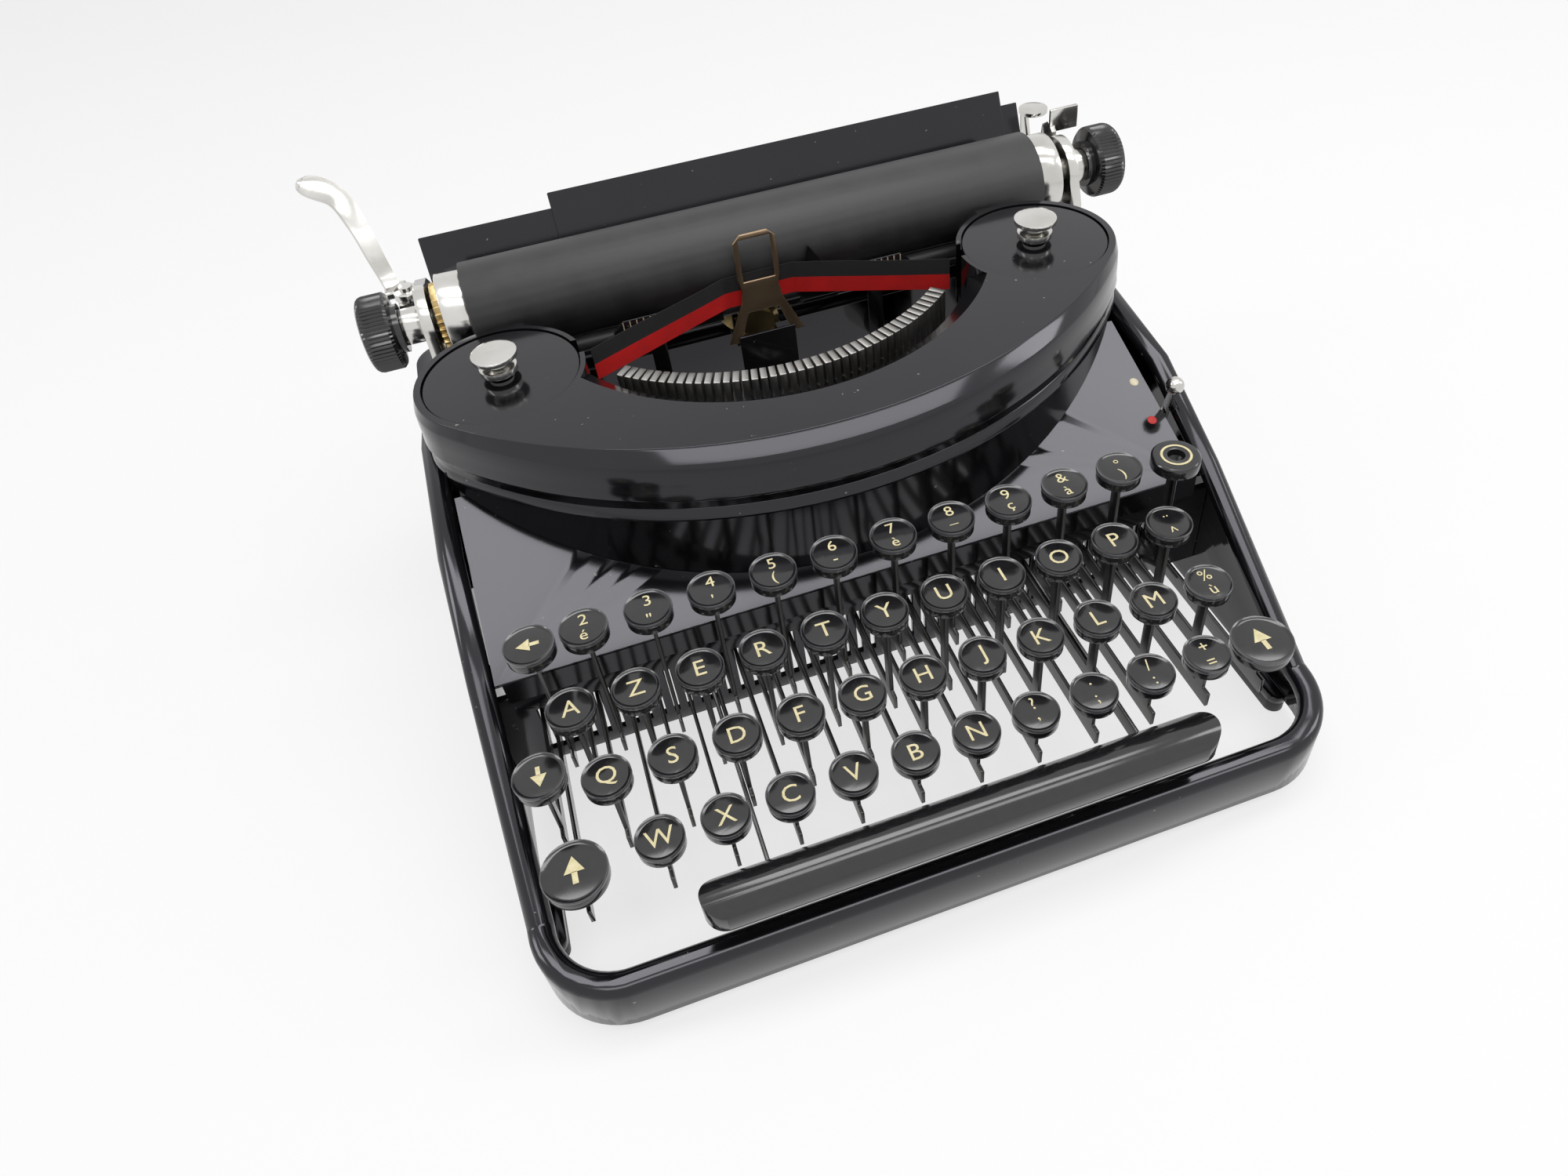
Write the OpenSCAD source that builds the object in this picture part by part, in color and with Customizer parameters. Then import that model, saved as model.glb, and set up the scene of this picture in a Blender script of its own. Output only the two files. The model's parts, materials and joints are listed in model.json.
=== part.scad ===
/* [Frame] */
// Width of the frame over its side walls
frame_w = 262; // [258:1:290]
// Depth of the frame, front to back
frame_d = 250; // [248:1:280]
// Thickness of the frame's walls
wall_t = 3; // [2:0.5:5]
// Width of the rolled rim on top of the walls
rim_w = 8; // [6:0.5:8]
// Depth of the rolled rim
rim_t = 4; // [3:0.5:6]
// Radius of the two front corners
corner_r = 27; // [15:1:40]
// Height of the rim along the front
front_rim_h = 20; // [16:1:22]
// Height of the rubber feet
foot_h = 5; // [3:0.5:8]
// Width of a rubber foot
foot_w = 7; // [5:0.5:7]
// Length of a rubber foot
foot_len = 26; // [16:1:40]

/* [Keyboard] */
// Distance from key to key along a row
key_pitch = 19.05; // [18:0.05:19.05]
// Diameter of a letter key
key_d = 14; // [11:0.5:15]
// Diameter of the two shift keys
shift_key_d = 18.6; // [14:0.2:19]
// Thickness of a key top
key_t = 5; // [3:0.5:6]
// Thickness of a key lever
lever_t = 1.2; // [0.8:0.1:1.4]
// Height of a key lever
lever_h = 6; // [4:0.5:7]
// Length of the space bar
space_bar_len = 160; // [120:1:180]
// Radius of the shaft that the key levers turn on
lever_shaft_r = 3; // [2:0.25:3.5]

/* [Cover] */
// Distance from the frame's front to the crescent's top edge
cover_front = 101; // [99:0.5:104]
// Half the distance between the two ribbon spools
spool_x = 96.25; // [92:0.25:98]
// Radius of a spool cover disc
disc_r = 26; // [24:0.5:27]
// Thickness of a spool cover disc
disc_t = 2; // [1:0.5:2.5]
// Height of the cover's top above the frame's underside
cover_top = 115; // [114:0.5:118]
// Radius of the opening over the type heads
well_r = 79; // [76:1:80]

/* [Type] */
// Number of type bars
type_bars_n = 42; // [30:1:44]
// Radius of the arc that the type bars stand on
type_arc_r = 84; // [80:1:84]
// Width of the inked ribbon
ribbon_w = 12.7; // [10:0.1:12.7]

/* [Carriage] */
// Diameter of the platen
platen_d = 35; // [30:0.5:35]
// Length of the platen's rubber
platen_len = 219; // [180:1:219]
// Distance between the carriage's two end plates
carriage_w = 245; // [245:1:260]
// Thickness of the end plates
end_plate_t = 4; // [2:0.5:5]
// Radius of the platen's shaft
shaft_r = 4; // [3:0.25:5]
// Diameter of the platen knobs
knob_d = 27.5; // [20:0.5:30]
// Width of the platen knobs
knob_w = 13; // [8:0.5:16]
// How far the carriage stands right of the middle
carriage_x = 7; // [0:1:12]
// Teeth on the escapement's pinion
pinion_teeth = 16; // [16:1:16]
// Gear module of the rack and pinion
gear_module = 1; // [1:0.1:1]

/* [Fits] */
// Radial clearance of a running fit
run_fit = 0.05; // [0.02:0.01:0.1]
// Radial clearance of a part that is pressed or screwed on
seat_fit = 0.02; // [0.01:0.01:0.05]
// Air gap between neighbours that do not touch
gap = 0.3; // [0.2:0.1:0.5]

/* [Hidden] */
$fn = 64;

// Frame: y runs back from the front face and z up from the frame's underside
half_w = frame_w / 2;
inner_x = half_w - wall_t;
rim_x = half_w - rim_w;
rear_corner_r = 12;
rear_inner_y = frame_d - wall_t;
rim_front_y = 28;
rim_mid = [90, 62];
rim_peak = [128, 82];
rim_top = [178, 90];
rim_rear = [200, 84];
wall_profile = [
    [0, 0], [0, front_rim_h], [rim_front_y, front_rim_h + 2], rim_mid, rim_peak, rim_top,
    rim_rear, [frame_d, rim_rear[1]], [frame_d, 0]
];
foot_x = half_w - rim_w / 2 - 0.2;
foot_y = [42, frame_d - 32];
foot_pad_t = 3;
screw_x = [-100, -40, 40, 100];
screw_z = 72;

// Apron: the sloping panel behind the keys
apron_x = rim_x - 2.4;
apron_left_x = rim_x - 0.4;
apron_front = [88, 60];
apron_back = [152, 84];
apron_t = 2;
apron_lip = 10;
apron_slope = atan2(apron_back[1] - apron_front[1], apron_back[0] - apron_front[0]);
apron_len = norm(apron_back - apron_front);
apron_tab = [94, 6, 5];
apron_tab_z = 52;

// Keyboard: the front-to-back place and the height of each row's key tops, back row first
row_y = [76.2, 59.5, 41.7, 24.4];
row_z = [86.5, 73.7, 62.1, 51.2];
row_keys = [10, 11, 11, 10];
lever_pitch = key_pitch / 4;
row_lever = [2, 0, 1, 3];
first_lever_x = -21 * lever_pitch;
pivot = [196, 34];
lever_eye_r = 6;
lever_tail = 8;
stem_w = 4;
lever_front_gap = 5;
comb_y = 90;
comb_t = 2.5;
comb_z = [14, 50];
comb_slot_w = lever_t + 0.7;
comb_slot_z = [19, 41];
shift_left_at = [-110, 23, 51];
shift_right_at = [104, 23, 51];
lock_at = [-113.5, 49, 62];
backspace_at = [-106.5, 76, 86];
margin_at = [100.5, 75, 86];
lock_key_d = 15;
backspace_key_d = 14.6;
margin_key_d = 15.6;
margin_key_bore_r = 2.8;
arm_x = 58.75;
space_bar_y = [0.6, 14];
space_bar_z = [33, 43];
space_bar_crown = 1.2;

// Cover: a skin of rings, each a height, how far its front stands forward and how much its cups grow
spool_y = 170;
cup_r = disc_r + 2.5;
cover_rings = [
    [56, -6, 0.5], [90.6, -6, 0.5], [91, -8.2, 1.6], [92, -8.6, 1.8], [94.6, -7.6, 1.3], [95.2, -6.8, 1],
    [98.6, -6.8, 1], [99, -8.2, 1.8], [100, -8.4, 1.9], [102.5, -7.6, 1.6], [105, -7.2, 1.6], [108, -6.6, 1.5],
    [110.6, -5.8, 1.3], [111.6, -5.1, 1.1], [114.4, -1.1, 0.3], [114.9, -0.4, 0.1], [115, 0, 0]
];
cover_drop = cover_top - 115;
cover_skin = 3;
cover_plate = 5;
cover_rear_y = 198.5;
cover_side_x = rim_x - gap;
cover_over_wall_z = rim_top[1] + 2.6;
cup_wall_r = disc_r + 2;
cup_floor_z = [92.5, 94.5];
disc_ledge = 1.8;
well_y = 204;
well_chamfer = 7;
disc_z = [cover_top - 0.5 - disc_t, cover_top - 0.5];
spool_r = disc_r - 2.5;
spool_z = [cup_floor_z[1] + gap, disc_z[0] - 2.5];
spool_flange_t = 1;
spool_hub_r = 18;
spindle_r = 3;
knob_profile = [
    [0, spool_z[1]], [spindle_r, spool_z[1]], [spindle_r, disc_z[1] + gap], [4.2, disc_z[1] + gap],
    [4.2, disc_z[1] + 1.5], [6.2, disc_z[1] + 2], [6.2, disc_z[1] + 4], [3.4, disc_z[1] + 4.6],
    [3.4, disc_z[1] + 6.6], [7.5, disc_z[1] + 7.6], [7.5, disc_z[1] + 9], [0, disc_z[1] + 9.8]
];

// Ribbon, vibrator and line scale in front of the platen
ribbon_z = 99;
ribbon_t = 0.4;
ribbon_end = [66, 176];
ribbon_mid = [13, 199.8];
vibrator_y = 198;
vibrator_t = 1;
vibrator_z = [84, 128];
scale_y = 200.3;
scale_t = 0.8;
scale_z = [94, 104];

// Type basket
type_y = 229;
type_sweep = 86;
segment_z = [58, 62];
segment_half_w = 9;
segment_lug = [25, 16];
guide_rod_r = 2.5;
guide_rod_at = [72, 168];
guide_rod_top = 84;
plate_z = [44, 47];
plate_y = [150, 204];
type_head = [2.3, 6, 8];
type_bar = [1.6, 6];
type_head_top = 106;

// Carriage
axis_y = 219;
axis_z = 112;
platen_r = platen_d / 2;
plate_x = carriage_w / 2;
cap_w = 9;
cap_r = platen_r - 2;
ratchet_r = 13;
ratchet_teeth = 30;
ratchet_w = 2.6;
collar_r = 6.5;
knob_x = plate_x + end_plate_t + 7.5;
rear_bar_y = [239.2, 244.8];
rear_bar_z = [92, 98];
front_bar_y = [212, 216];
front_bar_z = [91.6, 94];
rack_back = 0.8;
feed_spindle_r = 1.5;
feed_front = [205.4, 96, 3];
feed_rear = [232.6, 96.4, 3];
table_foot = [241.5, rear_bar_z[1]];
table_top = [255, 126.2];
table_t = 1.6;
support_x = [-72, 115];
support_from = 12;
support_to = 37;
support_t = 1.4;
margin_y = [254, 258];
margin_z = [93.5, 97.5];
margin_notch = 5;
stop_w = 9;
stop_x = [-70, 78];
lever_pin = [-(plate_x + end_plate_t + 4.5), 239.5];
lever_pin_r = 2.5;
lever_bracket_z = [106, 112];
release_pin_r = 2;
paper_release_pin = [238, 110];
carriage_release_pin = [254, 101];

// Bed, escapement, mainspring and bell
bed_y = [232, 238];
bed_shelf = [105, 246.7];
bed_z = [66, 72];
guide_x = 35;
guide_w = 16;
guide_wall = 1.6;
guide_rise = 3;
rack_len = 236;
pinion_r = gear_module * pinion_teeth / 2;
rack_pitch = PI * gear_module;
rack_pitch_z = front_bar_z[0] - rack_back - gear_module;
pinion_z = rack_pitch_z - pinion_r;
tooth_backlash = 0.5;
arbor_r = 2;
bearing_y = [222, 226];
escape_wheel_r = 13;
drum_at = [-80, 40];
drum_r = 18;
drum_y = [224, 236];
drum_arbor_r = 2.5;
bell_at = [70, 36];
bell_r = 17;

// Selector for the ribbon's colour
selector_x = [apron_x + 0.6, apron_x + 1.8];
selector_pin = [118, 48];
selector_pin_r = 1.5;
selector_ball = [110, 82.5];
selector_ball_r = 3.2;

// The machine's middle, front to back, between the frame's face and the return lever's tip
middle_y = (lever_pin[1] + 34.56) / 2;

// Puts a piece that was drawn from the front of the frame into the object's own frame
module placed() {
    translate([0, -middle_y, foot_h]) children();
}

// The same for a piece of the carriage, drawn from the carriage's middle
module on_carriage() {
    placed() translate([carriage_x, 0, 0]) children();
}

// Extrudes a side view, drawn as y and z, across the given stretch of x
module across(x0, x1) {
    translate([x0, 0, 0]) rotate([90, 0, 90]) linear_extrude(x1 - x0) children();
}

module rod_x(x0, x1, at, r) {
    translate([x0, at[0], at[1]]) rotate([0, 90, 0]) cylinder(h = x1 - x0, r = r);
}

module rod_y(y0, y1, at, r) {
    translate([at[0], y0, at[1]]) rotate([-90, 0, 0]) cylinder(h = y1 - y0, r = r);
}

module mirrored() {
    children();
    mirror([1, 0, 0]) children();
}

// Plan of the frame, drawn in by inset, with round corners
module frame_plan(inset) {
    rf = max(corner_r - inset, 1);
    rb = max(rear_corner_r - inset, 1);
    x = half_w - inset;
    y0 = inset;
    y1 = frame_d - inset;
    translate([-x, y0 + rf]) square([2 * x, y1 - rb - y0 - rf]);
    translate([-(x - rf), y0]) square([2 * (x - rf), rf + 1]);
    translate([-(x - rb), y1 - rb - 1]) square([2 * (x - rb), rb + 1]);
    for (s = [-1, 1]) {
        translate([s * (x - rf), y0 + rf]) circle(rf);
        translate([s * (x - rb), y1 - rb]) circle(rb);
    }
}

// Plan of a long round-ended foot, grown by extra
module foot_plan(extra) {
    r = foot_w / 2 + extra;
    run = foot_len - foot_w;
    translate([-r, -run / 2]) square([2 * r, run]);
    for (s = [-1, 1]) translate([0, s * run / 2]) circle(r);
}

module wall_side_view(drop) {
    across(-half_w - 1, half_w + 1) translate([0, -drop]) polygon(wall_profile);
}

module base_frame() {
    color("black") placed() {
        difference() {
            intersection() {
                linear_extrude(rim_top[1] + 1) frame_plan(0);
                wall_side_view(0);
            }
            translate([0, 0, -1]) linear_extrude(rim_top[1] + 3) frame_plan(rim_w);
            intersection() {
                translate([0, 0, -1]) linear_extrude(rim_top[1] + 3) frame_plan(wall_t);
                wall_side_view(rim_t);
            }
            for (s = [-1, 1])
                translate([s * guide_x - guide_w / 2 - gap, frame_d - rim_w - 1, rim_rear[1] - rim_t - 1])
                    cube([guide_w + 2 * gap, rim_w + 1 - wall_t, rim_t + 2]);
        }
        for (s = [-1, 1], y = foot_y) translate([s * foot_x, y, 0]) linear_extrude(foot_pad_t) foot_plan(0.4);
        rod_x(selector_x[0] - gap, inner_x + 0.5, selector_pin, selector_pin_r);
        rod_y(drum_y[0] - 1, rear_inner_y + 0.5, drum_at, drum_arbor_r);
    }
}

module rubber_feet() {
    color("dimgray") placed() for (s = [-1, 1], y = foot_y)
        translate([s * foot_x, y, -foot_h]) linear_extrude(foot_h) foot_plan(0);
}

module rear_screws() {
    color("silver") placed() for (x = screw_x) difference() {
        rod_y(frame_d, frame_d + 1.6, [x, screw_z], 3);
        translate([x - 4, frame_d + 0.9, screw_z - 0.4]) cube([8, 1, 0.8]);
    }
}

module apron_panel() {
    color("black") placed() {
        difference() {
            translate([-apron_left_x, apron_front[0], apron_front[1]]) rotate([apron_slope, 0, 0])
                translate([0, 0, -apron_t]) cube([apron_left_x + apron_x, apron_len, apron_t]);
            translate([0, type_y, 0]) cylinder(h = cover_top, r = type_arc_r + segment_half_w + 6);
        }
        translate([-apron_x, apron_front[0], apron_front[1] - apron_lip])
            cube([2 * apron_x, apron_t, apron_lip - 1]);
        mirrored() translate([apron_x - 3, apron_tab[0], apron_tab_z])
            cube([inner_x - apron_x + 3, apron_tab[1], apron_tab[2]]);
        mirrored() translate([apron_x - 3, apron_front[0], apron_tab_z])
            cube([3, apron_tab[0] - apron_front[0] + 1, apron_tab[2]]);
    }
}

function lever_x(row, k) = first_lever_x + (row_lever[row] + 4 * k) * lever_pitch;

all_lever_x = [
    for (row = [0:3], k = [0:row_keys[row] - 1]) lever_x(row, k),
    -arm_x, arm_x, shift_left_at[0], shift_right_at[0], lock_at[0], backspace_at[0], margin_at[0]
];

module lever_comb() {
    color("black") placed() difference() {
        translate([-inner_x, comb_y, comb_z[0]]) cube([2 * inner_x, comb_t, comb_z[1] - comb_z[0]]);
        for (x = all_lever_x) translate([x - comb_slot_w / 2, comb_y - 1, comb_slot_z[0]])
            cube([comb_slot_w, comb_t + 2, comb_slot_z[1] - comb_slot_z[0]]);
    }
}

module lever_shaft() {
    color("silver") placed() rod_x(-inner_x, inner_x, pivot, lever_shaft_r);
}

module mechanism_plate() {
    color("dimgray") placed() translate([-inner_x, plate_y[0], plate_z[0]])
        cube([2 * inner_x, plate_y[1] - plate_y[0], plate_z[1] - plate_z[0]]);
}

// A flat lever on the shaft, with an upright stem under its key
module key_lever(x, y, key_z) {
    difference() {
        union() {
            translate([x - lever_t / 2, y - lever_front_gap, pivot[1] - lever_h / 2])
                cube([lever_t, pivot[0] + lever_tail - y + lever_front_gap, lever_h]);
            rod_x(x - lever_t / 2, x + lever_t / 2, pivot, lever_eye_r);
            translate([x - lever_t / 2, y - stem_w / 2, pivot[1]])
                cube([lever_t, stem_w, key_z - key_t - pivot[1]]);
        }
        rod_x(x - lever_t, x + lever_t, pivot, lever_shaft_r + run_fit);
    }
}

module key_top(x, y, key_z, d) {
    translate([x, y, key_z - key_t]) rotate_extrude() polygon([
        [0, 0], [d / 2 - 1, 0], [d / 2, 1], [d / 2, key_t - 0.6], [d / 2 - 0.6, key_t], [0, key_t]
    ]);
}

module row_levers(row) {
    color("gray") placed() for (k = [0:row_keys[row] - 1]) key_lever(lever_x(row, k), row_y[row], row_z[row]);
}

module row_tops(row) {
    color("black") placed() for (k = [0:row_keys[row] - 1])
        key_top(lever_x(row, k), row_y[row], row_z[row], key_d);
}

module single_key(at, d) {
    placed() {
        color("gray") key_lever(at[0], at[1], at[2]);
        color("black") key_top(at[0], at[1], at[2], d);
    }
}

module shift_key_left() { single_key(shift_left_at, shift_key_d); }

module shift_key_right() { single_key(shift_right_at, shift_key_d); }

module shift_lock_key() { single_key(lock_at, lock_key_d); }

module backspace_key() { single_key(backspace_at, backspace_key_d); }

module margin_release_key() {
    difference() {
        single_key(margin_at, margin_key_d);
        placed() translate([margin_at[0], margin_at[1], margin_at[2] - key_t / 2])
            cylinder(h = key_t, r = margin_key_bore_r);
    }
}

module space_bar() {
    x = space_bar_len / 2;
    r = (space_bar_y[1] - space_bar_y[0]) / 2;
    yc = space_bar_y[0] + r;
    color("black") placed() intersection() {
        translate([0, 0, space_bar_z[0]]) linear_extrude(space_bar_z[1] - space_bar_z[0]) {
            translate([-x + r, space_bar_y[0]]) square([2 * (x - r), 2 * r]);
            for (s = [-1, 1]) translate([s * (x - r), yc]) circle(r);
        }
        rod_x(-x, x, [yc, space_bar_z[1] - space_bar_crown - r], r + space_bar_crown);
    }
}

module space_bar_arms() {
    color("gray") placed() mirrored() difference() {
        union() {
            translate([arm_x - lever_t / 2, space_bar_y[1], pivot[1] - lever_h / 2])
                cube([lever_t, pivot[0] - space_bar_y[1], lever_h]);
            rod_x(arm_x - lever_t / 2, arm_x + lever_t / 2, pivot, lever_eye_r);
        }
        rod_x(arm_x - lever_t, arm_x + lever_t, pivot, lever_shaft_r + run_fit);
    }
}

// Plan of the cover: two spool cups and the arc in front that touches both of them
arc_steps = 40;
cup_steps = 24;
function arc_points(at, r, from, to, n, first, last) =
    [for (i = [first:last]) at + r * [cos(from + (to - from) * i / n), sin(from + (to - from) * i / n)]];
function arc_centre(front, r) =
    (pow(front + r, 2) - pow(spool_x, 2) - pow(spool_y, 2)) / (2 * (front + r - spool_y));
function cover_plan(front, r) =
    let (c = arc_centre(front, r), a = atan2(spool_y - c, spool_x)) concat(
        arc_points([0, c], c - front, -180 - a, a, arc_steps, 0, arc_steps),
        arc_points([spool_x, spool_y], r, a, 90, cup_steps, 1, cup_steps),
        arc_points([-spool_x, spool_y], r, 90, 180 - a, cup_steps, 0, cup_steps - 1)
    );

// A closed skin through a stack of rings that have the same number of points
module ring_stack(rings) {
    n = len(cover_plan(cover_front, cup_r));
    m = len(rings);
    points = [for (ring = rings) for (p = cover_plan(cover_front + ring[1], cup_r + ring[2]))
        [p[0], p[1], ring[0] + cover_drop]];
    sides = [for (k = [0:m - 2], i = [0:n - 1]) each [
        [k * n + i, (k + 1) * n + i, (k + 1) * n + (i + 1) % n],
        [k * n + i, (k + 1) * n + (i + 1) % n, k * n + (i + 1) % n]
    ]];
    bottom = [for (i = [0:n - 1]) i];
    top = [for (i = [n - 1:-1:0]) (m - 1) * n + i];
    polyhedron(points, concat([bottom, top], sides), convexity = 6);
}

module cover_limits() {
    big = 400;
    difference() {
        union() {
            translate([-cover_side_x, 0, 0]) cube([2 * cover_side_x, cover_rear_y, big]);
            translate([-big / 2, 0, cover_over_wall_z]) cube([big, cover_rear_y, big]);
        }
        translate([-big / 2, apron_front[0], apron_front[1] + gap]) rotate([apron_slope, 0, 0])
            translate([0, -big, -big]) cube([big, big + apron_len + 2, big]);
    }
}

module cups(r, z0, z1) {
    for (s = [-1, 1]) translate([s * spool_x, spool_y, z0]) cylinder(h = z1 - z0, r = r);
}

module type_cover() {
    color("black") placed() intersection() {
        cover_limits();
        difference() {
            union() {
                difference() {
                    ring_stack(cover_rings);
                    translate([0, 0, cover_rings[0][0] - 1 + cover_drop])
                        linear_extrude(cover_top - cover_plate - cover_rings[0][0] + 1 - cover_drop) {
                            polygon(cover_plan(cover_front + cover_rings[0][1] + cover_skin, cup_r - cover_skin));
                            translate([-spool_x, spool_y]) square([2 * spool_x, 2 * cup_r]);
                        }
                }
                cups(cup_wall_r, cup_floor_z[0], cover_top - cover_plate + 1);
            }
            cups(disc_r - disc_ledge, cup_floor_z[1], cover_top + 1);
            cups(disc_r + gap, disc_z[0], cover_top + 1);
            difference() {
                union() {
                    translate([0, well_y, cover_top - well_chamfer]) cylinder(h = 20, r = well_r);
                    translate([0, well_y, cover_top - cover_plate])
                        cylinder(h = 2 * cover_plate, r1 = well_r, r2 = well_r + 2 * well_chamfer);
                    translate([-ribbon_end[0] + 4, well_y - 30, cover_top - well_chamfer])
                        cube([2 * ribbon_end[0] - 8, 60, 20]);
                }
                cups(cup_wall_r, 0, cover_top + 5);
            }
            mirrored() translate([ribbon_end[0] - 8, ribbon_end[1] - 5, ribbon_z - 2])
                cube([16, 8, 40]);
        }
    }
}

module spool_cover(side) {
    color("black") placed() translate([side * spool_x, spool_y, disc_z[0]]) difference() {
        cylinder(h = disc_t, r = disc_r);
        translate([0, 0, -1]) cylinder(h = disc_t + 2, r = spindle_r + run_fit);
    }
}

module spool_cover_left() { spool_cover(-1); }

module spool_cover_right() { spool_cover(1); }

module ribbon_spool(side) {
    z0 = spool_z[0];
    z1 = spool_z[1];
    f = spool_flange_t;
    color("dimgray") placed() translate([side * spool_x, spool_y, 0]) rotate_extrude() polygon([
        [0, z0], [spool_r, z0], [spool_r, z0 + f], [spool_hub_r, z0 + f], [spool_hub_r, z1 - f],
        [spool_r, z1 - f], [spool_r, z1], [0, z1]
    ]);
}

module ribbon_spool_left() { ribbon_spool(-1); }

module ribbon_spool_right() { ribbon_spool(1); }

module spool_knob(side) {
    color("silver") placed() translate([side * spool_x, spool_y, 0]) rotate_extrude() polygon(knob_profile);
}

module spool_knob_left() { spool_knob(-1); }

module spool_knob_right() { spool_knob(1); }

module ribbon() {
    path = [
        [-ribbon_end[0], ribbon_end[1]], [-ribbon_mid[0], ribbon_mid[1]],
        [ribbon_mid[0], ribbon_mid[1]], [ribbon_end[0], ribbon_end[1]]
    ];
    back = [for (i = [3:-1:0]) path[i] + [0, ribbon_t]];
    color("darkred") placed() translate([0, 0, ribbon_z]) linear_extrude(ribbon_w) polygon(concat(path, back));
}

module ribbon_vibrator() {
    foot = vibrator_z[0];
    top = vibrator_z[1];
    color("saddlebrown") placed() translate([0, vibrator_y + vibrator_t, 0]) rotate([90, 0, 0])
        linear_extrude(vibrator_t) difference() {
            polygon([
                [-15, foot], [-10, foot], [-6, 96], [6, 96], [10, foot], [15, foot], [8, 100], [7, 106],
                [8, 110], [8, top - 3], [5, top], [-5, top], [-8, top - 3], [-8, 110], [-7, 106], [-8, 100]
            ]);
            translate([-6, 109]) square([12, top - 2 - 109]);
        }
}

module vibrator_guide() {
    y0 = vibrator_y - gap - vibrator_t;
    color("dimgray") placed() translate([-11, y0, plate_z[1]])
        cube([22, vibrator_t, vibrator_z[0] + 3 - plate_z[1]]);
}

module line_scale() {
    z0 = scale_z[0];
    z1 = scale_z[1];
    color("black") placed() translate([0, scale_y + scale_t, 0]) rotate([90, 0, 0]) linear_extrude(scale_t) {
        polygon([[-56, z0], [-15, z0], [-15, z1], [-52, z1], [-56, z1 - 4]]);
        polygon([[15, z0], [60, z0], [60, z1 - 4], [56, z1], [28, z1], [20, z1 + 13], [16, z1]]);
        translate([-44, plate_z[1]]) square([6, z0 - plate_z[1] + 1]);
        translate([42, plate_z[1]]) square([6, z0 - plate_z[1] + 1]);
    }
}

module type_bars() {
    z0 = segment_z[1];
    color("silver") placed() translate([0, type_y, 0]) for (i = [0:type_bars_n - 1])
        rotate([0, 0, -type_sweep / 2 + type_sweep * i / (type_bars_n - 1)]) {
            translate([-type_bar[0] / 2, -type_arc_r - type_bar[1] / 2, z0])
                cube([type_bar[0], type_bar[1], type_head_top - z0 - 1]);
            translate([-type_head[0] / 2, -type_arc_r - type_head[1] / 2, type_head_top - type_head[2]])
                cube(type_head);
        }
}

module type_segment() {
    h = segment_z[1] - segment_z[0];
    r0 = type_arc_r - segment_half_w;
    r1 = type_arc_r + segment_half_w;
    a = type_sweep / 2 + 6;
    color("dimgray") placed() difference() {
        union() {
            translate([0, type_y, segment_z[0]]) linear_extrude(h) intersection() {
                difference() {
                    circle(r1);
                    circle(r0);
                }
                polygon([[0, 0], 2 * r1 * [-sin(a), -cos(a)], [0, -4 * r1], 2 * r1 * [sin(a), -cos(a)]]);
            }
            mirrored() translate([guide_rod_at[0] - segment_lug[0] + 8, guide_rod_at[1] - 8, segment_z[0]])
                cube([segment_lug[0], segment_lug[1], h]);
        }
        mirrored() translate([guide_rod_at[0], guide_rod_at[1], segment_z[0] - 1])
            cylinder(h = h + 2, r = guide_rod_r + run_fit);
    }
}

module basket_guide_rods() {
    color("silver") placed() mirrored() translate([guide_rod_at[0], guide_rod_at[1], plate_z[1]])
        cylinder(h = guide_rod_top - plate_z[1], r = guide_rod_r);
}

module colour_selector() {
    color("silver") placed() {
        difference() {
            union() {
                across(selector_x[0], selector_x[1]) polygon([
                    selector_pin + [-2.5, 0], selector_pin + [2.5, 0], selector_ball + [1.2, 0],
                    selector_ball + [-1.2, 0]
                ]);
                rod_x(selector_x[0], selector_x[1], selector_pin, 3.5);
            }
            rod_x(selector_x[0] - 1, selector_x[1] + 1, selector_pin, selector_pin_r + run_fit);
        }
        translate([(selector_x[0] + selector_x[1]) / 2, selector_ball[0], selector_ball[1]])
            sphere(selector_ball_r);
    }
}

// The cross beam that carries the carriage, with two U guides and the escapement's bearing
module carriage_bed() {
    color("dimgray") placed() difference() {
        union() {
            translate([-inner_x, bed_y[0], bed_z[0]])
                cube([2 * inner_x, bed_y[1] - bed_y[0], bed_z[1] - bed_z[0]]);
            translate([-bed_shelf[0], bed_y[0], bed_z[0]])
                cube([2 * bed_shelf[0], bed_shelf[1] - bed_y[0], bed_z[1] - bed_z[0]]);
            for (s = [-1, 1]) translate([s * guide_x - guide_w / 2, rear_bar_y[0] - gap - guide_wall, bed_z[1] - 1])
                cube([guide_w, rear_bar_y[1] - rear_bar_y[0] + 2 * (gap + guide_wall),
                    rear_bar_z[0] + guide_rise - bed_z[1] + 1]);
            translate([-8, bearing_y[0], bed_z[0]])
                cube([16, bearing_y[1] - bearing_y[0], pinion_z + 5 - bed_z[0]]);
            translate([-8, bearing_y[0], bed_z[0]])
                cube([16, bed_y[0] - bearing_y[0] + 1, 3]);
        }
        translate([-guide_x - guide_w, rear_bar_y[0] - gap, rear_bar_z[0] - gap])
            cube([2 * (guide_x + guide_w), rear_bar_y[1] - rear_bar_y[0] + 2 * gap, 20]);
        rod_y(bearing_y[0] - 1, bearing_y[1] + 1, [0, pinion_z], arbor_r + run_fit);
        translate([-escape_wheel_r - 1, bearing_y[1] + gap, pinion_z - escape_wheel_r - 1])
            cube([2 * escape_wheel_r + 2, 4 - 2 * gap, 40]);
    }
}

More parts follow.
